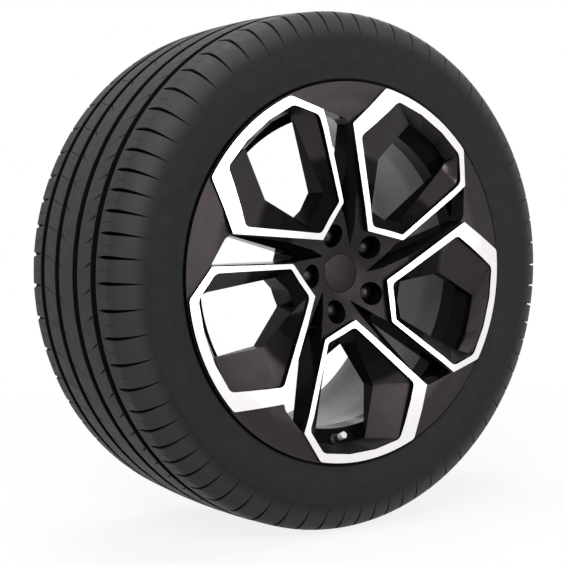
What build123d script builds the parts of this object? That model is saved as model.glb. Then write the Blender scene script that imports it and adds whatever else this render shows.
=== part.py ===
"""Passenger-car wheel and tyre assembly: a 285/40 R20 tyre on a 10.5J x 20 five-loop alloy wheel.

The wheel axis is Y, the outboard face looks along -Y and +Z is up. The origin is the centre of the hub's
mounting face. Sizes are in millimetres and angles in degrees.
"""
import os
from math import asin, atan2, cos, degrees, radians, sin, sqrt, tan

from build123d import *

# Rim: 20-inch bead seats, 10.5J between the flanges
BEAD_SEAT_R = 253.5
RIM_WIDTH = 266.7
FLANGE_HEIGHT = 17.3
LIP_THICKNESS = 11.0
BEAD_SEAT_WIDTH = 22.0
BEAD_SEAT_ANGLE = 5.0
WELL_DEPTH = 25.0
WELL_WIDTH = 56.0
WELL_WALL_RUN = 10.0
BARREL_WALL = 6.5

# Face: how far the bright arcs stand above the bead seats and outboard, and the dish of the face
ARC_RISE = 10.5
FACE_OFFSET = 148.0
DISH_ROOT_R = 66.0
DISH_ROOT_WIDTH = 30.0
DISH_ROOT_DROP = 9.7
DISH_MID_R = 100.0
DISH_MID_DROP = 4.5
CROWN_INNER_INSET = 56.0
CROWN_OUTER_INSET = 32.0
CROWN_RISE = 4.9
PANEL_DROP = 4.0
SPOKE_DEPTH_RIM = 22.0
SPOKE_DEPTH_HUB = 58.0

# Loops: five closed six-sided bands, each corner as an angle behind corner E, with a radius near the hub
# and an inset from the bright arcs near the rim
LOOPS = 5
LOOP_CLOCK = 91.1
LOOP_F_ANGLE = -13.6
LOOP_E_INSET = 56.2
LOOP_D_R = 66.4
LOOP_D_ANGLE = -29.3
LOOP_C_R = 100.0
LOOP_C_ANGLE = -64.8
LOOP_B_INSET = 32.3
LOOP_B_ANGLE = -59.7
LOOP_A_ANGLE = -50.0
WINDOW_ARC_INSET = 12.0
WINDOW_F_ANGLE = -19.1
WINDOW_E_INSET = 72.3
WINDOW_E_ANGLE = -4.4
WINDOW_D_R = 75.5
WINDOW_D_ANGLE = -32.2
WINDOW_C_R = 103.0
WINDOW_C_ANGLE = -60.9
WINDOW_B_INSET = 37.3
WINDOW_B_ANGLE = -57.6
WINDOW_A_ANGLE = -49.7
WINDOW_STEP_ROOT = 3.8
WINDOW_STEP_RIM = 3.0

# Rear openings of the loops, past the slanted facets
OPENING_DEPTH = 20.0
OPENING_F_INSET = 26.0
OPENING_F_ANGLE = -29.5
OPENING_E_INSET = 95.0
OPENING_E_ANGLE = -21.0
OPENING_D_R = 97.0
OPENING_D_ANGLE = -28.5
OPENING_ROOT_R = 100.0
OPENING_ROOT_ANGLE = -44.0
OPENING_C_R = 119.0
OPENING_C_ANGLE = -54.5
OPENING_A_INSET = 24.0
OPENING_A_ANGLE = -50.0

# Slots between neighbouring loops
SLOT_GAP = 1.5
SLOT_INNER_R = 84.0
SLOT_INNER_ROUND = 4.0
SLOT_INNER_WIDTH = 11.0
FLANK_SLOPE = 48.0
FLANK_START = 4.0
FLANK_REACH = 160.0
FLANK_CUT = 60.0
VALLEY_TIP_R = 42.0
VALLEY_TIP_ANGLE = -17.6
SLOT_PANEL_INSET = 49.4
SLOT_PANEL_ANGLE = 2.3

# Hub
HUB_OFFSET = 60.0
HUB_PAD_R = 80.0
HUB_FRONT_DROP = 33.0
HUB_CONE_DROP = 20.0
HUB_BORE_R = 28.55
HUB_BORE_DEPTH = 28.0
CAP_R = 27.5
CAP_FIT = 0.3
CAP_DISC_THICKNESS = 3.6
CAP_SEAT_LEDGE = 2.0
CAP_SKIRT_LENGTH = 13.0
CAP_SKIRT_WALL = 2.0
CAP_CROWN = 0.8
RING_WIRE_R = 0.8
RING_PLAY = 0.15

# Bolts: five M14 with 60-degree cone seats on a 112 mm circle
BOLT_CIRCLE = 112.0
BOLT_ANGLE = -52.8
BOLT_R = 7.0
BOLT_SHANK_R = 6.4
BOLT_HOLE_R = 7.5
BOLT_REACH = 28.0
SEAT_WEB = 24.0
SEAT_R = 13.0
SEAT_FIT = 0.2
POCKET_R = 16.5
BOLT_FLANGE = 1.6
BOLT_HEX = 17.0
BOLT_HEAD = 14.0
BOLT_CAP_R = 13.0
BOLT_CAP_TOP = 4.5
BOLT_CAP_FIT = 0.25
BOLT_CAP_LIFT = 0.4

# Tyre
TYRE_OD = 736.0
TYRE_SECTION = 294.0
TREAD_WIDTH = 224.0
TREAD_DROP = 4.0
TREAD_THICKNESS = 14.0
SIDEWALL_THICKNESS = 9.0
SECTION_SHARE = 0.4856
GROOVE_INNER = 28.0
GROOVE_OUTER = 79.5
GROOVE_WIDTH = 15.0
GROOVE_DEPTH = 7.5
BEAD_FIT = 0.3
BEAD_WIDTH = 19.0
PROTECTOR_LIFT = 1.0
PROTECTOR_HEIGHT = 9.0
PROTECTOR_WIDTH = 10.0

# Valve: a rubber snap-in stem through the outboard wall of the well
VALVE_ANGLE = -39.0
VALVE_LOOP = 3
VALVE_HOLE_R = 5.65
VALVE_FIT = 0.2
VALVE_BULB_R = 9.0
VALVE_BULB_LENGTH = 9.0
VALVE_COLLAR_R = 8.4
VALVE_COLLAR = 3.5
VALVE_SPOT_FACE = 40.0
VALVE_SPOT_GAP = 1.5
VALVE_NECK_R = 5.4
VALVE_RUBBER_LENGTH = 14.0
VALVE_TUBE_R = 3.85
VALVE_TUBE_BORE = 2.4
VALVE_TUBE_LENGTH = 22.5
VALVE_CORE_LENGTH = 10.0
VALVE_CORE_SINK = 1.5
VALVE_PIN_R = 0.75
VALVE_PIN_FIT = 0.25
VALVE_PIN_TAIL = 4.0
VALVE_PIN_STOP_R = 1.7
VALVE_PIN_TRAVEL = 1.2
VALVE_CAP_R = 5.0
VALVE_CAP_LENGTH = 9.5
VALVE_CAP_TOP = 1.6
VALVE_CAP_FIT = 0.25
VALVE_SEAL = 0.8

# Derived places
HALF_RIM = RIM_WIDTH / 2
FLANGE_R = BEAD_SEAT_R + FLANGE_HEIGHT
ARC_R = BEAD_SEAT_R + ARC_RISE
CROWN_INNER_R = ARC_R - CROWN_INNER_INSET
CROWN_OUTER_R = ARC_R - CROWN_OUTER_INSET
LOOP_E_R = ARC_R - LOOP_E_INSET
LOOP_B_R = ARC_R - LOOP_B_INSET
WINDOW_ARC_R = ARC_R - WINDOW_ARC_INSET
WINDOW_E_R = ARC_R - WINDOW_E_INSET
WINDOW_B_R = ARC_R - WINDOW_B_INSET
OPENING_F_R = ARC_R - OPENING_F_INSET
OPENING_E_R = ARC_R - OPENING_E_INSET
OPENING_A_R = ARC_R - OPENING_A_INSET
SLOT_PANEL_R = ARC_R - SLOT_PANEL_INSET
LIP_Y = HALF_RIM + LIP_THICKNESS
SEAT_END_R = BEAD_SEAT_R - BEAD_SEAT_WIDTH * tan(radians(BEAD_SEAT_ANGLE))
SEAT_END_Y = HALF_RIM - BEAD_SEAT_WIDTH
WELL_R = BEAD_SEAT_R - WELL_DEPTH
WELL_OUT_Y = SEAT_END_Y - 4 - WELL_WALL_RUN
WELL_IN_Y = WELL_OUT_Y - WELL_WIDTH
HUB_Y = 0.0
RIM_Y = HUB_Y + HUB_OFFSET
FACE_Y = RIM_Y - FACE_OFFSET
SECTION = Plane.XY.move(Location((0, RIM_Y, 0)))
BOLT_R_CIRCLE = BOLT_CIRCLE / 2
PITCH = 360 / LOOPS
OUT = Vector(0, -1, 0)


def polar(radius, angle):
    """Point of the face plan, with the angle counted from +X towards +Z."""
    return (radius * cos(radians(angle)), radius * sin(radians(angle)))


def face_plane(depth=0.0):
    """Plan of the face seen from outboard, sunk by depth behind the bright arcs."""
    return Plane(origin=(0, FACE_Y + depth, 0), x_dir=(1, 0, 0), z_dir=(0, -1, 0))


def tilted_plane(depth, tilt, angle):
    """Plan that also rises outboard along the radius at the given angle."""
    radial = Vector(cos(radians(angle)), 0, sin(radians(angle)))
    normal = OUT * cos(radians(tilt)) - radial * sin(radians(tilt))
    return Plane(origin=(0, FACE_Y + depth, 0), x_dir=radial * cos(radians(tilt)) + OUT * sin(radians(tilt)),
                 z_dir=normal)


def tilted_point(radius, angle, tilt, middle):
    """Point of a tilted plan that stands over the face point at radius and angle."""
    return (radius * cos(radians(angle - middle)) / cos(radians(tilt)), radius * sin(radians(angle - middle)))


# Alloy wheel: rim section
with BuildPart() as rim:
    with BuildSketch(SECTION):
        with BuildLine():
            Polyline(
                (FLANGE_R - 4, -LIP_Y),
                (FLANGE_R, -LIP_Y + 2.5),
                (FLANGE_R, -HALF_RIM - 2),
                (FLANGE_R - 2, -HALF_RIM),
                (BEAD_SEAT_R + 4, -HALF_RIM),
                (BEAD_SEAT_R, -HALF_RIM + 4),
                (SEAT_END_R, -SEAT_END_Y),
                (SEAT_END_R, -SEAT_END_Y + 4),
                (WELL_R, -WELL_OUT_Y),
                (WELL_R, -WELL_IN_Y),
                (SEAT_END_R - 6, HALF_RIM * 0.45),
                (SEAT_END_R, SEAT_END_Y),
                (BEAD_SEAT_R, HALF_RIM - 4),
                (BEAD_SEAT_R + 4, HALF_RIM),
                (FLANGE_R - 2, HALF_RIM),
                (FLANGE_R, HALF_RIM + 2),
                (FLANGE_R, LIP_Y - 2.5),
                (FLANGE_R - 3, LIP_Y),
                (FLANGE_R - 8, LIP_Y),
                (BEAD_SEAT_R + 4 - BARREL_WALL, HALF_RIM + 3),
                (SEAT_END_R - BARREL_WALL, SEAT_END_Y),
                (SEAT_END_R - 6 - BARREL_WALL, HALF_RIM * 0.45),
                (WELL_R - BARREL_WALL, -WELL_IN_Y),
                (WELL_R - BARREL_WALL, -WELL_OUT_Y - BARREL_WALL),
                (SEAT_END_R - BARREL_WALL, -SEAT_END_Y - BARREL_WALL + 2),
                (SEAT_END_R - BARREL_WALL, -LIP_Y + 12),
                (FLANGE_R - 14, -LIP_Y),
                close=True,
            )
        make_face()
    revolve(axis=Axis.Y)

# Alloy wheel: spoke disc and hub at the level between the loops
LOW_CROWN = PANEL_DROP - CROWN_RISE
with BuildPart() as disc:
    with BuildSketch(Plane.XY):
        with BuildLine():
            Polyline(
                (CAP_R - 8, FACE_Y + HUB_FRONT_DROP),
                (CAP_R + 1, FACE_Y + HUB_FRONT_DROP),
                (DISH_ROOT_R, FACE_Y + HUB_CONE_DROP),
                (DISH_MID_R + 10, FACE_Y + DISH_MID_DROP + 7),
                (CROWN_INNER_R, FACE_Y + LOW_CROWN + 3),
                (CROWN_OUTER_R, FACE_Y + LOW_CROWN),
                (ARC_R, FACE_Y + PANEL_DROP),
                (ARC_R, FACE_Y + PANEL_DROP + 8),
                (SEAT_END_R - BARREL_WALL + 4, FACE_Y + PANEL_DROP + 14),
                (CROWN_OUTER_R + 8, FACE_Y + SPOKE_DEPTH_RIM),
                (DISH_MID_R, FACE_Y + DISH_MID_DROP + SPOKE_DEPTH_HUB),
                (HUB_PAD_R + 2, HUB_Y - 8),
                (HUB_PAD_R, HUB_Y),
                (CAP_R - 8, HUB_Y),
                close=True,
            )
        make_face()
    revolve(axis=Axis.Y)

# Body under the dished front of the loops
with BuildPart() as dish:
    with BuildSketch(Plane.XY):
        with BuildLine():
            Polyline(
                (DISH_ROOT_R - DISH_ROOT_WIDTH, FACE_Y + HUB_CONE_DROP),
                (DISH_ROOT_R - DISH_ROOT_WIDTH, FACE_Y + DISH_ROOT_DROP + 4),
                (DISH_ROOT_R, FACE_Y + DISH_ROOT_DROP),
                (DISH_MID_R, FACE_Y + DISH_MID_DROP),
                (CROWN_INNER_R, FACE_Y - CROWN_RISE),
                (CROWN_OUTER_R, FACE_Y - CROWN_RISE + 0.5),
                (ARC_R, FACE_Y),
                (ARC_R, FACE_Y + PANEL_DROP + 6),
                (DISH_ROOT_R, FACE_Y + HUB_CONE_DROP + 6),
                close=True,
            )
        make_face()
    revolve(axis=Axis.Y)

# One loop: its outer outline raised to the dished front
CLOCK = LOOP_CLOCK
with BuildPart() as loop:
    with BuildSketch(face_plane(HUB_CONE_DROP + 10)):
        with BuildLine():
            outer_arc = CenterArc((0, 0), ARC_R, CLOCK + LOOP_A_ANGLE, LOOP_F_ANGLE - LOOP_A_ANGLE)
            Polyline(
                outer_arc @ 1,
                polar(LOOP_E_R, CLOCK),
                polar(LOOP_D_R, CLOCK + LOOP_D_ANGLE),
                polar(LOOP_C_R, CLOCK + LOOP_C_ANGLE),
                polar(LOOP_B_R, CLOCK + LOOP_B_ANGLE),
                outer_arc @ 0,
            )
        make_face()
    extrude(amount=HUB_CONE_DROP + 10 + 2 * CROWN_RISE)
    add(dish.part, mode=Mode.INTERSECT)

# One window: a short step inside the band, slanted facets and the rear opening
WINDOW_MIDDLE = CLOCK + (WINDOW_F_ANGLE + WINDOW_A_ANGLE) / 2
STEP_ROOT = DISH_ROOT_DROP + WINDOW_STEP_ROOT - 2
STEP_RISE = STEP_ROOT - WINDOW_STEP_RIM + 1.5
STEP_TILT = degrees(atan2(STEP_RISE, WINDOW_ARC_R - WINDOW_D_R))
STEP_DEPTH = STEP_ROOT + WINDOW_D_R * tan(radians(STEP_TILT))


def window_outline():
    """Wire points of the window's front outline on its tilted step."""
    corners = [
        (WINDOW_ARC_R, WINDOW_F_ANGLE),
        (WINDOW_E_R, WINDOW_E_ANGLE),
        (WINDOW_D_R, WINDOW_D_ANGLE),
        ((WINDOW_D_R + WINDOW_C_R) / 2 - 1, (WINDOW_D_ANGLE + WINDOW_C_ANGLE) / 2 - 3),
        (WINDOW_C_R, WINDOW_C_ANGLE),
        (WINDOW_B_R, WINDOW_B_ANGLE),
        (WINDOW_ARC_R, WINDOW_A_ANGLE),
        (WINDOW_ARC_R, WINDOW_A_ANGLE * 2 / 3 + WINDOW_F_ANGLE / 3),
        (WINDOW_ARC_R, WINDOW_A_ANGLE / 3 + WINDOW_F_ANGLE * 2 / 3),
    ]
    return [tilted_point(radius, CLOCK + angle, STEP_TILT, WINDOW_MIDDLE) for radius, angle in corners]


def opening_outline():
    """Wire points of the rear opening, corner for corner with the front outline."""
    corners = [
        (OPENING_F_R, OPENING_F_ANGLE),
        (OPENING_E_R, OPENING_E_ANGLE),
        (OPENING_D_R, OPENING_D_ANGLE),
        (OPENING_ROOT_R, OPENING_ROOT_ANGLE),
        (OPENING_C_R, OPENING_C_ANGLE),
        (OPENING_A_R - 14, OPENING_A_ANGLE - 1),
        (OPENING_A_R, OPENING_A_ANGLE),
        (OPENING_A_R + 1, OPENING_A_ANGLE * 2 / 3 + OPENING_F_ANGLE / 3),
        (OPENING_F_R + 1, OPENING_A_ANGLE / 3 + OPENING_F_ANGLE * 2 / 3),
    ]
    return [polar(radius, CLOCK + angle) for radius, angle in corners]


with BuildPart() as window:
    with BuildSketch(tilted_plane(STEP_DEPTH, STEP_TILT, WINDOW_MIDDLE)):
        with BuildLine():
            Polyline(*window_outline(), close=True)
        make_face()
    extrude(amount=STEP_DEPTH + 3 * CROWN_RISE)
    with BuildSketch(tilted_plane(STEP_DEPTH, STEP_TILT, WINDOW_MIDDLE)):
        with BuildLine():
            Polyline(*window_outline(), close=True)
        make_face()
    with BuildSketch(face_plane(OPENING_DEPTH)):
        with BuildLine():
            Polyline(*opening_outline(), close=True)
        make_face()
    loft(ruled=True)
    with BuildSketch(face_plane(OPENING_DEPTH)):
        with BuildLine():
            Polyline(*opening_outline(), close=True)
        make_face()
    extrude(amount=-(FACE_OFFSET - HUB_OFFSET - OPENING_DEPTH))

# One slot: the see-through gap between a loop and the next loop's long edge, narrowing to the hub
SLOT_B = Vector(*polar(LOOP_B_R, CLOCK + PITCH + LOOP_B_ANGLE))
SLOT_C = Vector(*polar(LOOP_C_R, CLOCK + PITCH + LOOP_C_ANGLE))
SLOT_E = Vector(*polar(LOOP_E_R, CLOCK))
SLOT_D = Vector(*polar(LOOP_D_R, CLOCK + LOOP_D_ANGLE))
FAR_DIR = (SLOT_C - SLOT_B).normalized()
FAR_SIDE = Vector(FAR_DIR.Y, -FAR_DIR.X) * -1
NEAR_DIR = (SLOT_D - SLOT_E).normalized()
NEAR_SIDE = Vector(-NEAR_DIR.Y, NEAR_DIR.X) * -1
SLOT_END = SLOT_C - FAR_DIR * (SLOT_INNER_R - LOOP_C_R) + FAR_SIDE * SLOT_GAP
SLOT_CORNER = SLOT_END + FAR_SIDE * SLOT_INNER_WIDTH
SLOT_PANEL = Vector(*polar(SLOT_PANEL_R, CLOCK + SLOT_PANEL_ANGLE))
with BuildPart() as slot:
    with BuildSketch(face_plane(FACE_OFFSET - HUB_OFFSET)) as slot_plan:
        with BuildLine():
            Polyline(
                SLOT_B + FAR_SIDE * SLOT_GAP,
                SLOT_END,
                SLOT_CORNER,
                SLOT_E + NEAR_SIDE * SLOT_GAP,
                SLOT_PANEL,
                close=True,
            )
        make_face()
        inner_corners = sorted(slot_plan.vertices(), key=lambda corner: Vector(corner.X, corner.Y).length)[:2]
        fillet(inner_corners, SLOT_INNER_ROUND)
    extrude(amount=FACE_OFFSET - HUB_OFFSET + 3 * CROWN_RISE)

# One flank: the slanted side of a spoke, falling from the band's long edge to the slot
FLANK_LINE = Vector(NEAR_DIR.X, 0, NEAR_DIR.Y)
FLANK_FALL = Vector(NEAR_SIDE.X, 0, NEAR_SIDE.Y) * cos(radians(FLANK_SLOPE)) - OUT * sin(radians(FLANK_SLOPE))
FLANK_PLANE = Plane(
    origin=Vector(SLOT_E.X, FACE_Y + FLANK_START, SLOT_E.Y),
    x_dir=FLANK_LINE,
    z_dir=FLANK_FALL.cross(FLANK_LINE),
)
FLANK_LENGTH = (SLOT_D - SLOT_E).length
VALLEY_TIP = polar(VALLEY_TIP_R, CLOCK + VALLEY_TIP_ANGLE)
with BuildPart() as flank:
    with BuildSketch(FLANK_PLANE):
        with Locations((FLANK_LENGTH * 0.55, 0)):
            Rectangle(FLANK_LENGTH * 1.4, FLANK_REACH)
    extrude(amount=FLANK_CUT)
    with BuildSketch(face_plane(FACE_OFFSET - HUB_OFFSET)):
        with BuildLine():
            Polyline(
                SLOT_E + NEAR_SIDE * SLOT_GAP,
                SLOT_D + NEAR_SIDE * SLOT_GAP,
                VALLEY_TIP,
                SLOT_C + FAR_SIDE * SLOT_GAP,
                SLOT_B + FAR_SIDE * SLOT_GAP,
                close=True,
            )
        make_face()
    extrude(amount=FACE_OFFSET - HUB_OFFSET + 3 * CROWN_RISE, mode=Mode.INTERSECT)

# One bolt pocket with its cone seat and clearance hole, on the axis of the bolt
SEAT_Y = HUB_Y - SEAT_WEB
SEAT_HEIGHT = (SEAT_R - BOLT_HOLE_R) / tan(radians(30))
BOLT_X, BOLT_Z = polar(BOLT_R_CIRCLE, CLOCK + BOLT_ANGLE)
BOLT_PLANE = Plane(origin=(BOLT_X, 0, BOLT_Z), x_dir=(1, 0, 0), z_dir=(0, 0, 1))
BOLT_AXIS = Axis((BOLT_X, 0, BOLT_Z), (0, 1, 0))
with BuildPart() as pocket:
    with BuildSketch(BOLT_PLANE):
        with BuildLine():
            Polyline(
                (0, HUB_Y + 5),
                (BOLT_HOLE_R, HUB_Y + 5),
                (BOLT_HOLE_R, SEAT_Y),
                (SEAT_R, SEAT_Y - SEAT_HEIGHT),
                (POCKET_R, SEAT_Y - SEAT_HEIGHT),
                (POCKET_R, FACE_Y - CROWN_RISE),
                (0, FACE_Y - CROWN_RISE),
                close=True,
            )
        make_face()
    revolve(axis=BOLT_AXIS)

# Hub bore from the back, and the stepped seat of the centre cap from the front
CAP_FRONT_Y = FACE_Y + HUB_FRONT_DROP
CAP_SKIRT_R = CAP_R - CAP_SEAT_LEDGE
CAP_FLOOR_Y = CAP_FRONT_Y + CAP_DISC_THICKNESS
RING_Y = CAP_FLOOR_Y + CAP_SKIRT_LENGTH - 3
RING_R = CAP_SKIRT_R - 1 + RING_PLAY + RING_WIRE_R
RING_GROOVE = RING_WIRE_R + RING_PLAY
with BuildPart() as bore:
    with BuildSketch(Plane.XY):
        with BuildLine():
            Polyline(
                (0, HUB_Y + 5),
                (HUB_BORE_R, HUB_Y + 5),
                (HUB_BORE_R, HUB_Y - HUB_BORE_DEPTH),
                (CAP_SKIRT_R + CAP_FIT, HUB_Y - HUB_BORE_DEPTH),
                (CAP_SKIRT_R + CAP_FIT, RING_Y + RING_GROOVE),
                (RING_R + RING_WIRE_R + RING_PLAY, RING_Y + RING_GROOVE),
                (RING_R + RING_WIRE_R + RING_PLAY, RING_Y - RING_GROOVE),
                (CAP_SKIRT_R + CAP_FIT, RING_Y - RING_GROOVE),
                (CAP_SKIRT_R + CAP_FIT, CAP_FLOOR_Y + CAP_FIT),
                (CAP_R + CAP_FIT, CAP_FLOOR_Y + CAP_FIT),
                (CAP_R + CAP_FIT, FACE_Y),
                (0, FACE_Y),
                close=True,
            )
        make_face()
    revolve(axis=Axis.Y)

# Valve axis: square to the outboard wall of the well, at mid height of that wall
VALVE_TILT = degrees(atan2(WELL_WALL_RUN, SEAT_END_R - WELL_R))
VALVE_PLACE = CLOCK + VALVE_LOOP * PITCH + VALVE_ANGLE
VALVE_DIR_R = Vector(cos(radians(VALVE_PLACE)), 0, sin(radians(VALVE_PLACE)))
VALVE_AXIS_DIR = OUT * cos(radians(VALVE_TILT)) - VALVE_DIR_R * sin(radians(VALVE_TILT))
VALVE_MID_R = (SEAT_END_R + WELL_R) / 2
VALVE_MID_Y = RIM_Y - (SEAT_END_Y - 4 + WELL_OUT_Y) / 2
VALVE_FOOT = VALVE_DIR_R * VALVE_MID_R + Vector(0, VALVE_MID_Y, 0)
VALVE_TANGENT = Vector(-sin(radians(VALVE_PLACE)), 0, cos(radians(VALVE_PLACE)))
VALVE_PLANE = Plane(origin=VALVE_FOOT, x_dir=VALVE_TANGENT, z_dir=VALVE_TANGENT.cross(VALVE_AXIS_DIR))
VALVE_AXIS = Axis(VALVE_FOOT, VALVE_AXIS_DIR)
WALL = sqrt(2) * BARREL_WALL * 0.75
with BuildPart() as valve_hole:
    with BuildSketch(VALVE_PLANE):
        with Locations((VALVE_HOLE_R / 2, 0)):
            Rectangle(VALVE_HOLE_R, 4 * BARREL_WALL)
    revolve(axis=VALVE_AXIS)
    with BuildSketch(VALVE_PLANE):
        with Locations(((VALVE_COLLAR_R + VALVE_SPOT_GAP) / 2, WALL + VALVE_SPOT_FACE / 2)):
            Rectangle(VALVE_COLLAR_R + VALVE_SPOT_GAP, VALVE_SPOT_FACE)
    revolve(axis=VALVE_AXIS)

# Spokes: disc and raised loops, opened by the windows, slots and flanks
TURNS = [turn * PITCH for turn in range(LOOPS)]
with BuildPart() as spokes:
    add(disc.part)
    add([loop.part.rotate(Axis.Y, turn) for turn in TURNS])
    add([window.part.rotate(Axis.Y, turn) for turn in TURNS], mode=Mode.SUBTRACT)
    add([slot.part.rotate(Axis.Y, turn) for turn in TURNS], mode=Mode.SUBTRACT)
    add([flank.part.rotate(Axis.Y, turn) for turn in TURNS], mode=Mode.SUBTRACT)

# One casting: the rim joined to the spokes, then machined
with BuildPart() as alloy_wheel:
    add(rim.part)
    add(spokes.part)
    add([pocket.part.rotate(Axis.Y, turn) for turn in TURNS], mode=Mode.SUBTRACT)
    add(bore.part, mode=Mode.SUBTRACT)
    add(valve_hole.part, mode=Mode.SUBTRACT)

# Tyre: closed carcass with beads on the rim, four circumferential grooves and a rim protector
TYRE_R = TYRE_OD / 2
HALF_SECTION = TYRE_SECTION / 2
HALF_TREAD = TREAD_WIDTH / 2
BEAD_Y = HALF_RIM - BEAD_FIT
BEAD_R = BEAD_SEAT_R + BEAD_FIT
TOE_R = BEAD_R - (BEAD_WIDTH - 4) * tan(radians(BEAD_SEAT_ANGLE)) + 0.4
SHOULDER_R = TYRE_R - TREAD_DROP
PROTECTOR_R = FLANGE_R + PROTECTOR_LIFT
SECTION_HEIGHT = FLANGE_R + SECTION_SHARE * (TYRE_R - FLANGE_R)
LINER_R = TYRE_R - TREAD_THICKNESS - TREAD_DROP / 2
LINER_HALF = HALF_TREAD - TREAD_THICKNESS
SHOULDER_FALL = 2 * TREAD_DROP / HALF_TREAD
with BuildPart() as tyre:
    with BuildSketch(SECTION):
        with BuildLine():
            crown = ThreePointArc((SHOULDER_R, -HALF_TREAD), (TYRE_R, 0), (SHOULDER_R, HALF_TREAD))
            Line((LINER_R, -LINER_HALF), (LINER_R, LINER_HALF))
            for side in (-1, 1):
                Spline(
                    (SHOULDER_R, side * HALF_TREAD),
                    (SECTION_HEIGHT, side * HALF_SECTION),
                    tangents=[(-SHOULDER_FALL, side), (-1, 0)],
                )
                Spline(
                    (SECTION_HEIGHT, side * HALF_SECTION),
                    (PROTECTOR_R + PROTECTOR_HEIGHT, side * (HALF_RIM + PROTECTOR_WIDTH)),
                    tangents=[(-1, 0), (-0.95, side * -0.3)],
                )
                Polyline(
                    (PROTECTOR_R + PROTECTOR_HEIGHT, side * (HALF_RIM + PROTECTOR_WIDTH)),
                    (PROTECTOR_R, side * (HALF_RIM + PROTECTOR_WIDTH - 2)),
                    (PROTECTOR_R, side * (HALF_RIM - 2)),
                    (FLANGE_R - 3, side * BEAD_Y),
                    (BEAD_R + 4, side * BEAD_Y),
                    (BEAD_R, side * (BEAD_Y - 4)),
                    (TOE_R, side * (BEAD_Y - BEAD_WIDTH)),
                )
                Spline(
                    (TOE_R, side * (BEAD_Y - BEAD_WIDTH)),
                    (SECTION_HEIGHT, side * (HALF_SECTION - SIDEWALL_THICKNESS)),
                    tangents=[(1, side * 0.3), (1, 0)],
                )
                Spline(
                    (SECTION_HEIGHT, side * (HALF_SECTION - SIDEWALL_THICKNESS)),
                    (LINER_R, side * LINER_HALF),
                    tangents=[(1, 0), (0, -side)],
                )
        make_face()
    revolve(axis=Axis.Y)
    with BuildSketch(SECTION):
        for place in (-GROOVE_OUTER, -GROOVE_INNER, GROOVE_INNER, GROOVE_OUTER):
            level = TYRE_R - TREAD_DROP * (place / HALF_TREAD) ** 2
            with Locations(Location((level, place), -90)):
                Trapezoid(GROOVE_WIDTH + 2, 2 * GROOVE_DEPTH, 100)
    revolve(axis=Axis.Y, mode=Mode.SUBTRACT)

# Centre cap: shallow domed disc with a skirt that snaps into the hub
with BuildPart() as centre_cap:
    with BuildSketch(Plane.XY):
        with BuildLine():
            dome = ThreePointArc(
                (0, CAP_FRONT_Y - CAP_CROWN),
                (CAP_R * 0.5, CAP_FRONT_Y - CAP_CROWN * 0.75),
                (CAP_R - 0.8, CAP_FRONT_Y),
            )
            Polyline(
                dome @ 1,
                (CAP_R, CAP_FRONT_Y + 0.8),
                (CAP_R, CAP_FLOOR_Y),
                (CAP_SKIRT_R, CAP_FLOOR_Y),
                (CAP_SKIRT_R, RING_Y - RING_WIRE_R - RING_PLAY),
                (CAP_SKIRT_R - 1, RING_Y - RING_WIRE_R - RING_PLAY),
                (CAP_SKIRT_R - 1, RING_Y + RING_WIRE_R + RING_PLAY),
                (CAP_SKIRT_R, RING_Y + RING_WIRE_R + RING_PLAY),
                (CAP_SKIRT_R, CAP_FLOOR_Y + CAP_SKIRT_LENGTH),
                (CAP_SKIRT_R - CAP_SKIRT_WALL - 1, CAP_FLOOR_Y + CAP_SKIRT_LENGTH),
                (CAP_SKIRT_R - CAP_SKIRT_WALL - 1, CAP_FLOOR_Y),
                (0, CAP_FLOOR_Y),
                dome @ 0,
            )
        make_face()
    revolve(axis=Axis.Y)

# Spring ring: round wire, open at one side, shared by the grooves of the cap's skirt and the hub
with BuildPart() as cap_spring_ring:
    with BuildSketch(Plane.XY):
        with Locations((RING_R, RING_Y)):
            Circle(RING_WIRE_R)
    revolve(axis=Axis.Y, revolution_arc=330)

# Wheel bolts: M14 with a plain shank under the cone seat, a collar and a 17 mm hexagon
BOLT_SEAT_Y = SEAT_Y - SEAT_FIT / sin(radians(30))
HEAD_Y = SEAT_Y - SEAT_HEIGHT - BOLT_FLANGE
with BuildPart() as one_bolt:
    with BuildSketch(BOLT_PLANE):
        with BuildLine():
            Polyline(
                (0, HUB_Y + BOLT_REACH),
                (BOLT_R - 1.5, HUB_Y + BOLT_REACH),
                (BOLT_R, HUB_Y + BOLT_REACH - 1.5),
                (BOLT_R, HUB_Y),
                (BOLT_SHANK_R, HUB_Y),
                (BOLT_SHANK_R, BOLT_SEAT_Y + (BOLT_HOLE_R - BOLT_SHANK_R) / tan(radians(30))),
                (SEAT_R - SEAT_FIT, SEAT_Y - SEAT_HEIGHT - SEAT_FIT),
                (SEAT_R - SEAT_FIT, HEAD_Y),
                (0, HEAD_Y),
                close=True,
            )
        make_face()
    revolve(axis=BOLT_AXIS)
    with BuildSketch(Plane(origin=(BOLT_X, HEAD_Y, BOLT_Z), x_dir=(1, 0, 0), z_dir=(0, -1, 0))):
        RegularPolygon(BOLT_HEX / 2, 6, major_radius=False)
    extrude(amount=BOLT_HEAD)

with BuildPart() as wheel_bolts:
    add([one_bolt.part.rotate(Axis.Y, turn) for turn in TURNS])

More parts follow.
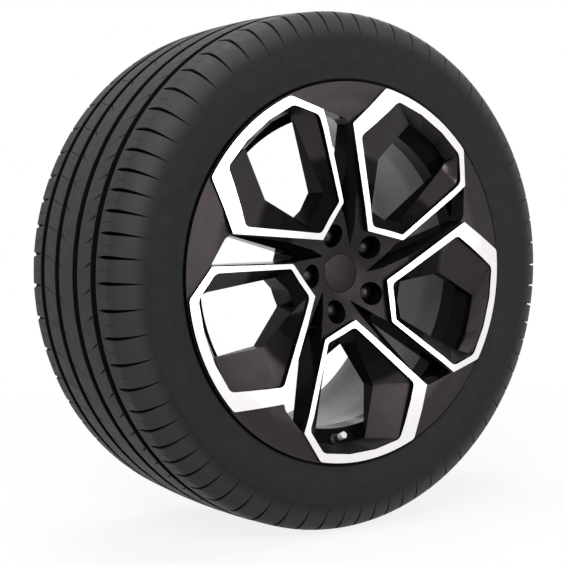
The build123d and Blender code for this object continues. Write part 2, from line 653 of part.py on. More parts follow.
# Bolt cover: domed plastic cap clipped over a bolt's hexagon
COVER_Y = HEAD_Y - BOLT_CAP_LIFT
COVER_TOP_Y = HEAD_Y - BOLT_HEAD - BOLT_CAP_LIFT
DOME_SPAN = BOLT_CAP_R - 0.4
DOME_RISE = BOLT_CAP_TOP + 1
DOME_R = (DOME_SPAN**2 + DOME_RISE**2) / (2 * DOME_RISE)
DOME_HALF_TURN = asin(DOME_SPAN / DOME_R) / 2
with BuildPart() as bolt_cover:
    with BuildSketch(BOLT_PLANE):
        with BuildLine():
            crown_line = ThreePointArc(
                (0, COVER_TOP_Y - BOLT_CAP_TOP),
                (DOME_R * sin(DOME_HALF_TURN), COVER_TOP_Y - BOLT_CAP_TOP + DOME_R * (1 - cos(DOME_HALF_TURN))),
                (DOME_SPAN, COVER_TOP_Y + 1),
            )
            Polyline(
                crown_line @ 1,
                (BOLT_CAP_R, COVER_TOP_Y + 3),
                (BOLT_CAP_R, COVER_Y),
                (0, COVER_Y),
                crown_line @ 0,
            )
        make_face()
    revolve(axis=BOLT_AXIS)
    with BuildSketch(Plane(origin=(BOLT_X, COVER_Y, BOLT_Z), x_dir=(1, 0, 0), z_dir=(0, -1, 0))):
        RegularPolygon(BOLT_HEX / 2 + BOLT_CAP_FIT, 6, major_radius=False)
    extrude(amount=BOLT_HEAD - BOLT_CAP_LIFT + 0.3 + BOLT_CAP_LIFT, mode=Mode.SUBTRACT)

# Valve stem: rubber body snapped through the well wall, with its bulb inside the tyre
RUBBER_BORE = VALVE_TUBE_R + VALVE_FIT
with BuildPart() as valve_stem:
    with BuildSketch(VALVE_PLANE):
        with BuildLine():
            Polyline(
                (RUBBER_BORE, -VALVE_BULB_LENGTH - VALVE_FIT),
                (VALVE_BULB_R - 2.5, -VALVE_BULB_LENGTH - VALVE_FIT),
                (VALVE_BULB_R, -VALVE_FIT - 3),
                (VALVE_BULB_R, -VALVE_FIT),
                (VALVE_HOLE_R - VALVE_FIT, -VALVE_FIT),
                (VALVE_HOLE_R - VALVE_FIT, WALL + VALVE_FIT),
                (VALVE_COLLAR_R, WALL + VALVE_FIT),
                (VALVE_COLLAR_R, WALL + VALVE_COLLAR),
                (VALVE_NECK_R, WALL + VALVE_COLLAR + 3),
                (VALVE_NECK_R, WALL + VALVE_RUBBER_LENGTH),
                (RUBBER_BORE, WALL + VALVE_RUBBER_LENGTH),
                close=True,
            )
        make_face()
    revolve(axis=VALVE_AXIS)

# Valve tube: brass insert through the rubber, open at both ends
TUBE_END = WALL + VALVE_TUBE_LENGTH
CORE_TOP = TUBE_END - VALVE_CORE_SINK
CORE_FOOT = CORE_TOP - VALVE_CORE_LENGTH
with BuildPart() as valve_tube:
    with BuildSketch(VALVE_PLANE):
        with BuildLine():
            Polyline(
                (VALVE_TUBE_BORE, -VALVE_BULB_LENGTH),
                (VALVE_TUBE_R, -VALVE_BULB_LENGTH),
                (VALVE_TUBE_R, TUBE_END - 0.6),
                (VALVE_TUBE_R - 0.6, TUBE_END),
                (VALVE_TUBE_BORE, TUBE_END),
                close=True,
            )
        make_face()
    revolve(axis=VALVE_AXIS)

# Valve core: brass plug in the tube, bored for its pin
CORE_R = VALVE_TUBE_BORE - VALVE_FIT
PIN_BORE = VALVE_PIN_R + VALVE_PIN_FIT
with BuildPart() as valve_core:
    with BuildSketch(VALVE_PLANE):
        with BuildLine():
            Polyline(
                (PIN_BORE, CORE_FOOT),
                (CORE_R - 0.4, CORE_FOOT),
                (CORE_R, CORE_FOOT + 0.8),
                (CORE_R, CORE_TOP),
                (PIN_BORE, CORE_TOP),
                close=True,
            )
        make_face()
    revolve(axis=VALVE_AXIS)

# Valve pin: spring-closed plunger with its sealing head below the core
with BuildPart() as valve_pin:
    with BuildSketch(VALVE_PLANE):
        with BuildLine():
            Polyline(
                (0, CORE_FOOT - VALVE_PIN_TAIL),
                (VALVE_PIN_STOP_R, CORE_FOOT - VALVE_PIN_TAIL),
                (VALVE_PIN_STOP_R, CORE_FOOT - VALVE_PIN_FIT),
                (VALVE_PIN_R, CORE_FOOT - VALVE_PIN_FIT),
                (VALVE_PIN_R, CORE_TOP + VALVE_PIN_TRAVEL),
                (0, CORE_TOP + VALVE_PIN_TRAVEL),
                close=True,
            )
        make_face()
    revolve(axis=VALVE_AXIS)

# Valve cap: knurled plastic cup screwed over the tube, with a rubber washer in its roof
CAP_ROOF = TUBE_END + VALVE_CAP_FIT + VALVE_SEAL + 2 * VALVE_CAP_FIT
CAP_MOUTH = CAP_ROOF + VALVE_CAP_TOP - VALVE_CAP_LENGTH
CAP_BORE = VALVE_TUBE_R + VALVE_CAP_FIT
with BuildPart() as valve_cap:
    with BuildSketch(VALVE_PLANE):
        with BuildLine():
            Polyline(
                (0, CAP_ROOF),
                (CAP_BORE, CAP_ROOF),
                (CAP_BORE, CAP_MOUTH),
                (VALVE_CAP_R, CAP_MOUTH),
                (VALVE_CAP_R, CAP_ROOF + VALVE_CAP_TOP - 0.8),
                (VALVE_CAP_R - 0.8, CAP_ROOF + VALVE_CAP_TOP),
                (0, CAP_ROOF + VALVE_CAP_TOP),
                close=True,
            )
        make_face()
    revolve(axis=VALVE_AXIS)

with BuildPart() as valve_cap_seal:
    with BuildSketch(VALVE_PLANE):
        with BuildLine():
            Polyline(
                (VALVE_TUBE_BORE, CAP_ROOF - VALVE_CAP_FIT - VALVE_SEAL),
                (CAP_BORE - VALVE_CAP_FIT, CAP_ROOF - VALVE_CAP_FIT - VALVE_SEAL),
                (CAP_BORE - VALVE_CAP_FIT, CAP_ROOF - VALVE_CAP_FIT),
                (VALVE_TUBE_BORE, CAP_ROOF - VALVE_CAP_FIT),
                close=True,
            )
        make_face()
    revolve(axis=VALVE_AXIS)

os.makedirs("parts", exist_ok=True)
alloy_wheel.part.label = "alloy_wheel"
export_step(alloy_wheel.part, "parts/alloy_wheel.step")
tyre.part.label = "tyre"
export_step(tyre.part, "parts/tyre.step")
centre_cap.part.label = "centre_cap"
export_step(centre_cap.part, "parts/centre_cap.step")
cap_spring_ring.part.label = "cap_spring_ring"
export_step(cap_spring_ring.part, "parts/cap_spring_ring.step")
wheel_bolts.part.label = "wheel_bolts"
export_step(wheel_bolts.part, "parts/wheel_bolts.step")
for number, turn in enumerate(TURNS, 1):
    cover = bolt_cover.part.rotate(Axis.Y, turn)
    cover.label = f"bolt_cover_{number}"
    export_step(cover, f"parts/bolt_cover_{number}.step")
valve_stem.part.label = "valve_stem"
export_step(valve_stem.part, "parts/valve_stem.step")
valve_tube.part.label = "valve_tube"
export_step(valve_tube.part, "parts/valve_tube.step")
valve_core.part.label = "valve_core"
export_step(valve_core.part, "parts/valve_core.step")
valve_pin.part.label = "valve_pin"
export_step(valve_pin.part, "parts/valve_pin.step")
valve_cap.part.label = "valve_cap"
export_step(valve_cap.part, "parts/valve_cap.step")
valve_cap_seal.part.label = "valve_cap_seal"
export_step(valve_cap_seal.part, "parts/valve_cap_seal.step")
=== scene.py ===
"""Studio scene of a wheel and tyre assembly: the finishes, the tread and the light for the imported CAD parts.

Lengths are metres. The wheel's axis is Y, its outboard face looks along -Y and +Z is up.
"""
import logging
import math
from dataclasses import dataclass, field
from enum import Enum

import bmesh
import bpy
from mathutils import Matrix, Vector


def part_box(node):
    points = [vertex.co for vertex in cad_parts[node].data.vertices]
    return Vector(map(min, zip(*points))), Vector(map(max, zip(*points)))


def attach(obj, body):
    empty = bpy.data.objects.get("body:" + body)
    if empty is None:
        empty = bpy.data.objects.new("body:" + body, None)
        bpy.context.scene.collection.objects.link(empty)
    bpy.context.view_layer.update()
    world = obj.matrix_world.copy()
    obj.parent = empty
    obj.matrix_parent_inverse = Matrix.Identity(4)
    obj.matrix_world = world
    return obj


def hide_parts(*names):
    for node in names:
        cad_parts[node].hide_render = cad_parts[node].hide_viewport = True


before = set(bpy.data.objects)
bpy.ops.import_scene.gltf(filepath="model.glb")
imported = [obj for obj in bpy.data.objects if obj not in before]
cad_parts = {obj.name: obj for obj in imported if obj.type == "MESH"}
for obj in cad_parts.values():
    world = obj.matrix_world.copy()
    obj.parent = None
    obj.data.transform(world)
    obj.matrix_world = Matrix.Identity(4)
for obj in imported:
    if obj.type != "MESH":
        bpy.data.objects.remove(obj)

LOG = logging.getLogger("wheel_scene")
FULL_TURN = 2.0 * math.pi
SHARP_BEND = 30.0
ROUND_PROFILE = 0.5
WHITE = (1.0, 1.0, 1.0, 1.0)
MIX_COLOURS = (6, 7)
MIX_RESULT = 2
SLIT_SIDES = (-1.0, 0.0, 1.0)
GROOVE_SIDES = (-1.0, -0.74, 0.74, 1.0)
PATH_SLACK = 1e-6

Tone = tuple[float, float, float]
Socket = bpy.types.NodeSocket


class Ramp(Enum):
    """How the values inside a range are mapped to another."""

    LINEAR = "LINEAR"
    SMOOTH = "SMOOTHSTEP"


def axis_distance(point: Vector) -> float:
    """Return a point's distance from the wheel's axis."""
    return math.hypot(point.x, point.z)


def map_range(
    tree: bpy.types.NodeTree, value: Socket, source: tuple[float, float], target: tuple[float, float],
    ramp: Ramp = Ramp.LINEAR,
) -> Socket:
    """Add a Map Range node.

    Args:
        tree: the node tree to add to.
        value: the socket to map.
        source: start and end of the range.
        target: the results at its start and end.
        ramp: how the values between are mapped.

    Returns:
        The mapped value.
    """
    node = tree.nodes.new("ShaderNodeMapRange")
    node.interpolation_type = ramp.value
    tree.links.new(value, node.inputs["Value"])
    for name, number in zip(("From Min", "From Max", "To Min", "To Max"), (*source, *target)):
        node.inputs[name].default_value = number
    return node.outputs["Result"]


@dataclass(frozen=True)
class Grain:
    """A noise on object coordinates, with the part of its range that is used."""

    scale: float
    detail: float = 3.0
    roughness: float = 0.55
    low: float = 0.3
    high: float = 0.7


class NodeSheet:
    """The nodes of one procedural material, with short calls that add and join them."""

    def __init__(self, name: str) -> None:
        """Start a material with its shader and object coordinates.

        Args:
            name: the material's name.
        """
        self.material = bpy.data.materials.new(name)
        self.material.use_nodes = True
        self.tree = self.material.node_tree
        self.shader = self.tree.nodes["Principled BSDF"]
        self.place = self.tree.nodes.new("ShaderNodeTexCoord").outputs["Object"]

    def add(self, kind: str, **settings: object) -> bpy.types.Node:
        """Add a node.

        Args:
            kind: the node's type name.
            settings: properties to set on the node.

        Returns:
            The new node.
        """
        node = self.tree.nodes.new(kind)
        for key, value in settings.items():
            setattr(node, key, value)
        return node

    def feed(self, value: object, slot: Socket) -> None:
        """Link a socket to an input, or set the input to a constant.

        Args:
            value: a socket or a constant.
            slot: the input.
        """
        if isinstance(value, bpy.types.NodeSocket):
            self.tree.links.new(value, slot)
        else:
            slot.default_value = value

    def math(self, operation: str, *values: object) -> Socket:
        """Add a Math node.

        Args:
            operation: the node's operation.
            values: a socket or a number for each of its inputs.

        Returns:
            The node's result.
        """
        node = self.add("ShaderNodeMath", operation=operation)
        for slot, value in zip(node.inputs, values):
            self.feed(value, slot)
        return node.outputs[0]

    def attribute(self, name: str) -> Socket:
        """Return a number that the mesh holds at each point."""
        return self.add("ShaderNodeAttribute", attribute_name=name).outputs["Fac"]

    def radius(self) -> Socket:
        """Add the distance from the wheel's axis.

        Returns:
            The distance at each point.
        """
        split = self.add("ShaderNodeSeparateXYZ")
        self.feed(self.place, split.inputs[0])
        squares = [self.math("POWER", self.math("ABSOLUTE", split.outputs[axis]), 2.0) for axis in "XZ"]
        return self.math("SQRT", self.math("ADD", *squares))

    def noise(self, grain: Grain) -> Socket:
        """Add a noise on object coordinates.

        Args:
            grain: the noise's settings.

        Returns:
            The noise from 0 to 1.
        """
        node = self.add("ShaderNodeTexNoise")
        self.feed(self.place, node.inputs["Vector"])
        self.feed(grain.scale, node.inputs["Scale"])
        self.feed(grain.detail, node.inputs["Detail"])
        self.feed(grain.roughness, node.inputs["Roughness"])
        return node.outputs["Fac"]

    def span(
        self, value: Socket, low: float, high: float, to_low: float = 0.0, to_high: float = 1.0
    ) -> Socket:
        """Map the values from low to high smoothly to those from to_low to to_high."""
        return map_range(self.tree, value, (low, high), (to_low, to_high), Ramp.SMOOTH)

    def spread(self, grain: Grain, to_low: float = 0.0, to_high: float = 1.0) -> Socket:
        """Map the used part of a noise's range to the values from to_low to to_high."""
        return self.span(self.noise(grain), grain.low, grain.high, to_low, to_high)

    def mix(self, share: Socket, under: Socket | Tone, over: Socket | Tone) -> Socket:
        """Mix two colours by a share.

        Args:
            share: 0 for the first colour, 1 for the second.
            under: the first colour.
            over: the second colour.

        Returns:
            The mixed colour.
        """
        node = self.add("ShaderNodeMix", data_type="RGBA")
        self.feed(share, node.inputs["Factor"])
        for number, colour in zip(MIX_COLOURS, (under, over)):
            self.feed((*colour, 1.0) if isinstance(colour, tuple) else colour, node.inputs[number])
        return node.outputs[MIX_RESULT]

    def bump(self, height: Socket, strength: float, distance: float) -> None:
        """Give the shader a bump.

        Args:
            height: the height of the surface.
            strength: how much of the bump shows.
            distance: the height's scale in metres.
        """
        node = self.add("ShaderNodeBump")
        self.feed(strength, node.inputs["Strength"])
        self.feed(distance, node.inputs["Distance"])
        self.feed(height, node.inputs["Height"])
        self.set(Normal=node.outputs["Normal"])

    def set(self, **values: object) -> None:
        """Link or set the shader's inputs, with spaces of their names as underscores."""
        for key, value in values.items():
            self.feed(value, self.shader.inputs[key.replace("_", " ")])


@dataclass(frozen=True)
class TyreRubber:
    """Moulded tyre rubber: a dull tread and a smoother wall with thin moulded rings; the cuts get painted
    shade (darker rubber without reflection) and the shoulder gets painted light (a lighter tone).
    """

    name: str = "tyre_rubber_moulded"
    wall_tone: Tone = (0.0088, 0.0083, 0.0083)
    tread_tone: Tone = (0.0222, 0.0213, 0.0214)
    # painted light: a lighter tone for the shoulder, standing in for light where its surface turns away
    shoulder_painted_light_tone: Tone = (0.0305, 0.0292, 0.0294)
    # painted shade: the colour of the cuts, reached where they are deep
    cut_painted_shade_tone: Tone = (0.0056, 0.0054, 0.0054)
    wall_radius: float = 0.322
    shoulder_radius: float = 0.344
    edge_radius: float = 0.3605
    tread_radius: float = 0.3655
    ring_radii: tuple[float, ...] = (0.3085, 0.3055, 0.2925)
    ring_half: float = 0.0006
    patches: Grain = Grain(34.0, 4.0)
    patch_swing: float = 0.08
    wear: Grain = Grain(90.0, 5.0, 0.65, 0.25, 0.75)
    wear_roughness: tuple[float, float] = (0.5, 0.64)
    skin: Grain = Grain(1500.0)
    relief: float = 0.24
    relief_height: float = 0.0004
    specular: float = 0.18
    # painted shade: the share of the cut's painted shade at which its reflection is gone
    painted_shade_shine_end: float = 0.8

    def material(self) -> bpy.types.Material:
        """Make the rubber's material.

        Returns:
            The material.
        """
        sheet = NodeSheet(self.name)
        # the attribute gives how much painted shade each point of a cut gets
        radius, depth = sheet.radius(), sheet.attribute("painted_groove_shade")
        patches = sheet.spread(self.patches, -self.patch_swing, self.patch_swing)
        # painted light: from the wall up to the crown the tone rises to the lighter shoulder tone
        share = sheet.math("ADD", sheet.span(radius, self.wall_radius, self.shoulder_radius), patches)
        tone = sheet.mix(share, self.wall_tone, self.shoulder_painted_light_tone)
        tone = sheet.mix(sheet.span(radius, self.edge_radius, self.tread_radius), tone, self.tread_tone)
        height = sheet.noise(self.skin)
        for ring in self.ring_radii:
            height = sheet.math("ADD", height, sheet.math("COMPARE", radius, ring, self.ring_half))
        sheet.bump(height, self.relief, self.relief_height)
        sheet.set(
            # painted shade: the cuts are darkened and their reflection is turned off by the attribute
            Base_Color=sheet.mix(depth, tone, self.cut_painted_shade_tone),
            Roughness=sheet.spread(self.wear, *self.wear_roughness),
            Specular_IOR_Level=sheet.span(depth, 0.0, self.painted_shade_shine_end, self.specular, 0.0),
        )
        return sheet.material


@dataclass(frozen=True)
class GlossPaint:
    """Lacquered paint with a fine flake, which can carry painted shade: plain black and dull in a ring round
    the axis, and partly so inside it.
    """

    name: str
    deep_tone: Tone
    flake_tone: Tone
    roughness: float = 0.22
    specular: float = 0.2
    # painted shade: the radii of a darker, duller ring, its colour and reflection, and the share of it inside
    # the ring
    painted_shade_ring: tuple[float, float, float, float] | None = None
    painted_shade_tone: Tone = (0.0034, 0.0032, 0.0033)
    painted_shade_specular: float = 0.06
    hub_painted_shade_share: float = 0.0
    shine_tone: Tone = (1.0, 1.0, 1.0)
    flake: Grain = Grain(2600.0, 1.0, low=0.42, high=0.68)
    drift: Grain = Grain(16.0, 2.0)
    drift_least: float = 0.65
    film: Grain = Grain(60.0)
    film_swing: float = 0.03
    peel: Grain = Grain(420.0, 2.0)
    peel_relief: float = 0.02
    peel_height: float = 0.0002

    def material(self) -> bpy.types.Material:
        """Make the paint's material.

        Returns:
            The material.
        """
        sheet = NodeSheet(self.name)
        flakes = sheet.math("MULTIPLY", sheet.spread(self.flake), sheet.spread(self.drift, self.drift_least))
        tone = sheet.mix(flakes, self.deep_tone, self.flake_tone)
        sheet.set(Specular_IOR_Level=self.specular, Specular_Tint=(*self.shine_tone, 1.0))
        # painted shade ring, when the paint has one
        if self.painted_shade_ring:
            tone = self.paint_shade_ring(sheet, tone)
        film = sheet.spread(self.film, self.roughness - self.film_swing, self.roughness + self.film_swing)
        sheet.set(Base_Color=tone, Roughness=film)
        sheet.bump(sheet.noise(self.peel), self.peel_relief, self.peel_height)
        return sheet.material

    def paint_shade_ring(self, sheet: NodeSheet, tone: Socket) -> Socket:
        """Paint shade: turn the paint black and dull between the ring's radii, and partly so inside them.

        Args:
            sheet: the material's nodes.
            tone: the paint's own colour.

        Returns:
            The colour with the painted shade ring.
        """
        inner, inner_full, outer_full, outer = self.painted_shade_ring
        radius = sheet.radius()
        rise = sheet.span(radius, inner, inner_full, self.hub_painted_shade_share, 1.0)
        share = sheet.math("MULTIPLY", rise, sheet.span(radius, outer_full, outer, 1.0, 0.0))
        # painted shade also takes the reflection away in the ring
        sheet.set(Specular_IOR_Level=sheet.span(share, 0.0, 1.0, self.specular, self.painted_shade_specular))
        return sheet.mix(share, tone, self.painted_shade_tone)


@dataclass(frozen=True)
class TurnedFace:
    """Bright machined aluminium with fine turning lines round the axis."""

    name: str = "turned_aluminium"
    tone: Tone = (0.90, 0.872, 0.888)
    line_tone: Tone = (0.835, 0.808, 0.824)
    line_pitch: float = 0.0016
    line_relief: float = 0.03
    line_height: float = 0.0001
    streak: Grain = Grain(240.0)
    streak_top: float = 0.7
    roughness: float = 0.24
    polish_swing: tuple[float, float] = (-0.03, 0.07)

    def material(self) -> bpy.types.Material:
        """Make the machined face's material.

        Returns:
            The material.
        """
        sheet = NodeSheet(self.name)
        turns = sheet.math("MULTIPLY", sheet.radius(), FULL_TURN / self.line_pitch)
        lines = sheet.span(sheet.math("SINE", turns), -1.0, 1.0)
        streaks = sheet.math("MULTIPLY", lines, sheet.noise(self.streak))
        smooth, rough = (self.roughness + swing for swing in self.polish_swing)
        sheet.bump(lines, self.line_relief, self.line_height)
        sheet.set(
            Base_Color=sheet.mix(streaks, self.tone, self.line_tone),
            Roughness=sheet.span(streaks, 0.0, self.streak_top, smooth, rough),
            Metallic=1.0,
        )
        return sheet.material


@dataclass(frozen=True)
class MouldedPlastic:
    """Moulded plastic or rubber with a fine grain."""

    name: str
    deep_tone: Tone
    worn_tone: Tone
    roughness: float
    grain: Grain
    relief: float
    relief_height: float = 0.0002
    wear: Grain = Grain(110.0, 4.0, high=0.72)
    skin: Grain = Grain(300.0)
    skin_swing: float = 0.06

    def material(self) -> bpy.types.Material:
        """Make the moulding's material.

        Returns:
            The material.
        """
        sheet = NodeSheet(self.name)
        skin = sheet.spread(self.skin, self.roughness - self.skin_swing, self.roughness + self.skin_swing)
        sheet.bump(sheet.noise(self.grain), self.relief, self.relief_height)
        sheet.set(
            Base_Color=sheet.mix(sheet.spread(self.wear), self.deep_tone, self.worn_tone), Roughness=skin
        )
        return sheet.material


@dataclass(frozen=True)
class PlainMetal:
    """Bare or plated metal with faint tool marks."""

    name: str
    tone: Tone
    dull_tone: Tone
    roughness: float
    marks: Grain = Grain(380.0, 5.0, 0.7, high=0.75)
    polish_swing: tuple[float, float] = (-0.06, 0.12)
    tooling: Grain = Grain(1400.0, 2.0)
    relief: float = 0.05
    relief_height: float = 0.0001

    def material(self) -> bpy.types.Material:
        """Make the metal's material.

        Returns:
            The material.
        """
        sheet = NodeSheet(self.name)
        marks = sheet.spread(self.marks)
        smooth, rough = (self.roughness + swing for swing in self.polish_swing)
        sheet.bump(sheet.noise(self.tooling), self.relief, self.relief_height)
        sheet.set(
            Base_Color=sheet.mix(marks, self.tone, self.dull_tone),
            Roughness=sheet.span(marks, 0.0, 1.0, smooth, rough),
            Metallic=1.0,
        )
        return sheet.material


class Band(Enum):
    """The bands of the tyre's section, from the outboard shoulder to the inboard one, and the rest."""

    OUTBOARD = "outboard shoulder and wall"
    OUTER_RIB = "rib beside the outboard shoulder"
    CENTRE_RIB = "centre rib"
    INNER_RIB = "rib beside the inboard shoulder"
    INBOARD = "inboard shoulder and wall"
    CASING = "beads and liner"


@dataclass(frozen=True)
class Row:
    """One row of the tyre's section: its place, its band, whether a cut can sink it, and whether it gets the
    painted groove shade.
    """

    axial: float
    radius: float
    band: Band
    cuttable: bool = True
    # painted shade: the row's rubber gets the full groove shade
    painted_groove_shade: bool = False


@dataclass(frozen=True)
class Cut:
    """A moulded cut that is repeated at every pitch of a band.

    Places along the section are path lengths from the crown, positive to outboard.
    """

    first_column: int
    columns: int
    start: float
    end: float
    half_width: float
    depth: float
    drift: float = 0.0
    opening: float = 0.0
    hold: float = 0.0
    taper: float = 0.7
    swell: float = 0.8
    least: float = 0.00035

    def share(self, path: float) -> float:
        """Return how far along the cut a place of the section lies, 0 at its start and 1 at its end."""
        return (path - self.start) / (self.end - self.start)

    def fullness(self, path: float) -> float:
        """Tell how wide and deep the cut is at a place.

        Args:
            path: the place along the section.

        Returns:
            The share of the cut's full width, from 0 to 1.
        """
        share = self.share(path)
        if share < -PATH_SLACK or share > 1.0 + PATH_SLACK:
            return 0.0
        share = min(max(share, 0.0), 1.0)
        rise = min(1.0, share / self.opening) ** self.swell if self.opening else 1.0
        return rise * min(1.0, (1.0 - share) / (1.0 - self.hold)) ** self.taper

    def sinkage(self, path: float) -> float:
        """Return how deep the cut is at a place."""
        return self.depth * math.sqrt(self.fullness(path))

    def side(self, column: int) -> float:
        """Return where a column lies across the cut, -1 and 1 at its edges."""
        sides = SLIT_SIDES if self.columns == len(SLIT_SIDES) else GROOVE_SIDES
        return sides[column - self.first_column]

    def holds(self, column: int) -> bool:
        """Tell whether a column of the pitch belongs to the cut."""
        return self.first_column <= column < self.first_column + self.columns

    def sinks(self, column: int) -> bool:
        """Tell whether a column lies on the cut's floor."""
        return self.first_column < column < self.first_column + self.columns - 1


@dataclass(frozen=True)
class Pattern:
    """The cuts of one band and how often they repeat round the tyre."""

    pitches: int
    clock: float
    cuts: tuple[Cut, ...]


@dataclass
class Tyre:
    """The tyre: a closed section spun about the axis, with its grooves, cuts and wall rings moulded in."""

    node: str = "tyre"
    columns: int = 504
    half_tread: float = 0.112
    tread_drop: float = 0.004
    section_radius: float = 0.318
    rib_rows: tuple[tuple[float, ...], ...] = (
        (-0.112, -0.108, -0.1045, -0.1015, -0.099, -0.0965, -0.0945, -0.093, -0.0915, -0.0885),
        (-0.0695, -0.0665, -0.0635, -0.0605, -0.0575, -0.055, -0.0525, -0.047, -0.041),
        (-0.014, -0.006, 0.000, 0.004, 0.0075, 0.0105, 0.0135, 0.017),
        (0.0395, 0.044, 0.049, 0.054, 0.059, 0.064, 0.068),
        (0.0885, 0.092, 0.096, 0.100, 0.104, 0.108, 0.112),
    )
    groove_places: tuple[float, ...] = (-0.0795, -0.028, 0.028, 0.0795)
    groove_half: float = 0.0075
    groove_floor_half: float = 0.0056
    groove_depth: float = 0.0075
    groove_edge: float = 0.0012
    groove_edge_slope: float = 3.0
    upper_shares: tuple[float, ...] = (
        0.05, 0.1, 0.16, 0.24, 0.32, 0.4, 0.48, 0.56, 0.64, 0.72, 0.79, 0.85, 0.89,
        0.922, 0.93, 0.95, 0.958, 1.0,
    )
    cut_end: float = 0.89
    ring_shares: tuple[float, ...] = (0.93, 0.95)
    ring_rise: float = 0.0009
    lower_shares: tuple[float, ...] = (0.2, 0.4, 0.6, 0.8, 1.0)
    foot_slope: tuple[float, float] = (-0.95, -0.3)
    rim_half_width: float = 0.13335
    lip_radius: float = 0.2664
    lip_gap: float = 0.001
    protector_width: float = 0.010
    protector_height: float = 0.0134
    protector_bevel: tuple[float, float] = (0.0008, 0.0025)
    protector_foot: float = 0.0035
    seat_step: float = 0.002
    heel_drop: float = 0.003
    heel_chamfer: float = 0.004
    toe_drop: float = 0.001
    bead_radius: float = 0.2538
    bead_axial: float = 0.121
    bead_width: float = 0.019
    liner_wall: tuple[tuple[float, float], ...] = (
        (0.130, 0.295), (0.138, 0.318), (0.130, 0.342), (0.105, 0.3525),
    )
    liner_half: float = 0.05
    liner_depth: float = 0.0145
    # painted shade: the cut depth at which a cut's painted shade is full
    painted_shade_depth: float = 0.0035
    pitch_swing: float = 0.14
    pitch_waves: int = 6
    pitch_peak: float = 190.0
    sharp_bend: float = 28.0
    middle: float = field(init=False)
    half_section: float = field(init=False)
    outer_radius: float = field(init=False)
    patterns: dict[Band, Pattern] = field(init=False)

    def __post_init__(self) -> None:
        """Take the tyre's outer size and place from the frame."""
        low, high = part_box(self.node)
        self.middle = (low.y + high.y) / 2.0
        self.half_section = (high.y - low.y) / 2.0
        self.outer_radius = (high.z - low.z) / 2.0
        self.patterns = self.tread_patterns()

    @staticmethod
    def tread_patterns() -> dict[Band, Pattern]:
        """List the cuts of each band of the tread.

        Returns:
            A pattern for each band that has cuts.
        """
        long_groove = Cut(
            0, 4, start=0.0905, end=0.1655, half_width=0.0025, depth=0.0064, opening=0.2, hold=0.42, taper=0.8
        )
        fine_slit = Cut(4, 3, start=0.098, end=0.120, half_width=0.0004, depth=0.0007, opening=0.2, taper=0.3)
        hook = Cut(0, 4, start=0.072, end=0.0525, half_width=0.0016, depth=0.0050, drift=0.009, taper=0.8)
        centre_hook = Cut(
            0, 4, start=-0.0205, end=-0.004, half_width=0.0020, depth=0.0060, drift=0.0115, taper=0.9
        )
        cross_slit = Cut(
            0, 4, start=-0.072, end=-0.0355, half_width=0.0007, depth=0.0032, drift=0.009, taper=0.45
        )
        edge_notch = Cut(
            0, 4, start=-0.136, end=-0.0885, half_width=0.0034, depth=0.0056, drift=-0.003, hold=0.3
        )
        edge_slit = Cut(
            5, 3, start=-0.124, end=-0.090, half_width=0.0006, depth=0.0020, drift=-0.002, taper=0.4
        )
        return {
            Band.OUTBOARD: Pattern(72, -0.37, (long_groove, fine_slit)),
            Band.OUTER_RIB: Pattern(72, 0.87, (hook,)),
            Band.CENTRE_RIB: Pattern(56, 2.97, (centre_hook,)),
            Band.INNER_RIB: Pattern(56, 1.42, (cross_slit,)),
            Band.INBOARD: Pattern(56, 1.77, (edge_notch, edge_slit)),
        }

    def crown(self, axial: float) -> float:
        """Return the tread's radius at an axial place."""
        return self.outer_radius - self.tread_drop * (axial / self.half_tread) ** 2

    @staticmethod
    def sweep(
        start: Vector, end: Vector, leave: Vector, arrive: Vector, shares: tuple[float, ...]
    ) -> list[Vector]:
        """Take points along a cubic curve whose end slopes are given.

        Args:
            start: first point, as a radius and an axial place.
            end: last point.
            leave: direction at the first point.
            arrive: direction at the last point.
            shares: how far along the curve each point lies, from 0 to 1.

        Returns:
            The points.
        """
        chord = (end - start).length
        leave, arrive = leave.normalized() * chord, arrive.normalized() * chord
        points = []
        for t in shares:
            first = start * (2 * t**3 - 3 * t**2 + 1) + leave * (t**3 - 2 * t**2 + t)
            points.append(first + end * (3 * t**2 - 2 * t**3) + arrive * (t**3 - t**2))
        return points

    def wall_rows(self, side: int, band: Band) -> list[Row]:
        """List the rows of one wall from the shoulder down to the bead's toe.

        Args:
            side: -1 for the outboard wall, 1 for the inboard one.
            band: the band that the upper wall belongs to.

        Returns:
            The rows, from the shoulder inwards.
        """
        shoulder = Vector((self.crown(self.half_tread), side * self.half_tread))
        widest = Vector((self.section_radius, side * self.half_section))
        lip = self.lip_radius + self.lip_gap
        outer = self.rim_half_width + self.protector_width
        foot = Vector((lip + self.protector_height, side * outer))
        fall = Vector((-2.0 * self.tread_drop / self.half_tread, side))
        down = Vector((-1, 0))
        slant = Vector((self.foot_slope[0], self.foot_slope[1] * side))
        rows = []
        upper = self.sweep(shoulder, widest, fall, down, self.upper_shares)
        for share, point in zip(self.upper_shares, upper):
            lift = self.ring_rise if share in self.ring_shares else 0.0
            reach = min(self.half_section, abs(point.y) + lift)
            rows.append(Row(side * reach, point.x, band, share <= self.cut_end))
        for point in self.sweep(widest, foot, down, slant, self.lower_shares):
            rows.append(Row(point.y, point.x, Band.CASING, False))
        bevel_width, bevel_height = self.protector_bevel
        bead = (
            (outer - bevel_width, lip + bevel_height),
            (outer - self.protector_foot, lip),
            (self.rim_half_width - self.seat_step, lip),
            (self.bead_axial, self.lip_radius - self.heel_drop),
            (self.bead_axial, self.bead_radius + self.heel_chamfer),
            (self.bead_axial - self.heel_chamfer, self.bead_radius),
            (self.bead_axial - self.bead_width, self.bead_radius - self.toe_drop),
        )
        rows.extend(Row(side * axial, radius, Band.CASING, False) for axial, radius in bead)
        return rows

